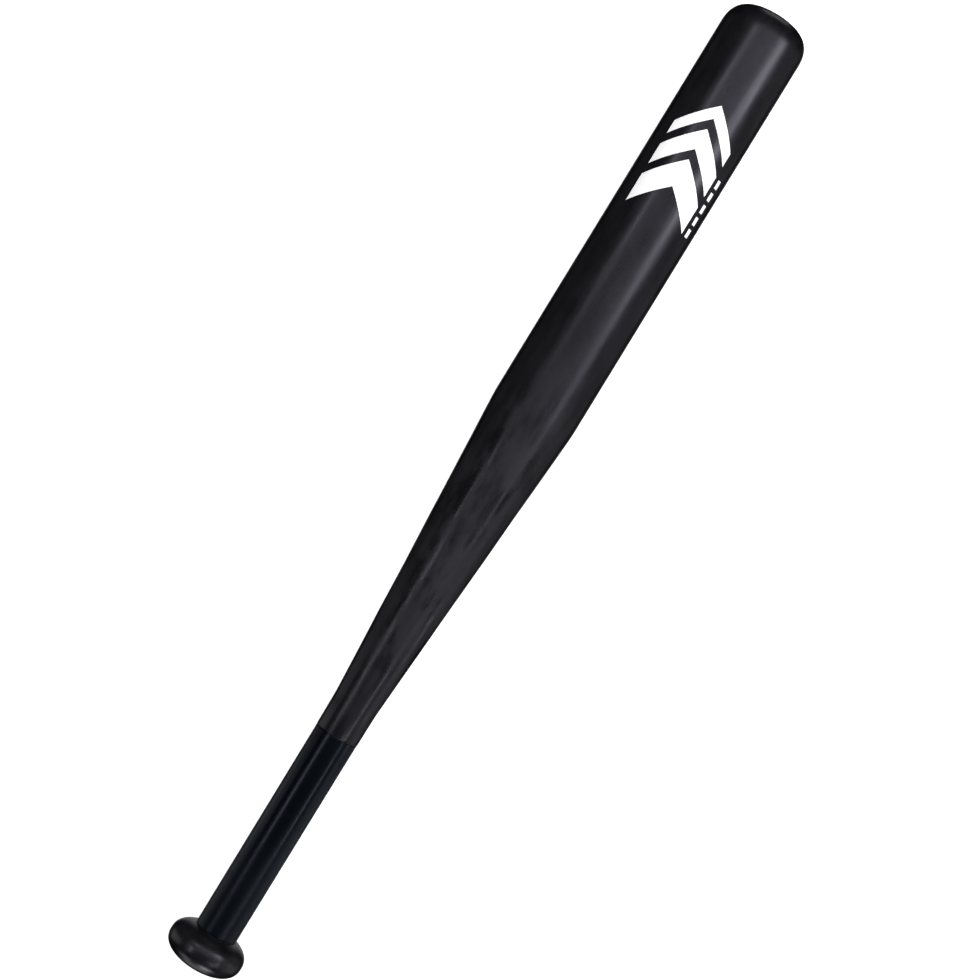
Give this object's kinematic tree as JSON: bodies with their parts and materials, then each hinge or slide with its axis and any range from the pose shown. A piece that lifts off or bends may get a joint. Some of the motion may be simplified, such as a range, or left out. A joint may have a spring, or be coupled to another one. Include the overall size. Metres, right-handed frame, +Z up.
{
  "type": "baseball bat",
  "caption": "One-piece alloy baseball bat: hollow tapered tube with a straight barrel and a rounded, plugged end, a smooth sleeve grip and a flattened ball knob.",
  "frame": {"origin": "centre of the flat end face of the knob", "axes": "+X along the bat's axis from the knob to the end of the barrel, +Z up as the bat lies on its side"},
  "size_m": [0.635, 0.0516, 0.0516],
  "materials": {
    "satin_paint": "satin",
    "grip_rubber": "gloss",
    "plug_rubber": "matte",
    "weld_alloy": "satin",
    "tape_film": "matte",
    "cured_adhesive": "satin",
    "foam": "matte"
  },
  "bodies": {
    "root": {"bat_tube": "satin_paint", "knob": "satin_paint", "knob_weld": "weld_alloy", "knob_plug": "plug_rubber", "grip_tape": "tape_film", "grip_sleeve": "grip_rubber", "end_plug": "plug_rubber", "end_plug_bead": "cured_adhesive", "barrel_damper": "foam"}
  },
  "joints": []
}
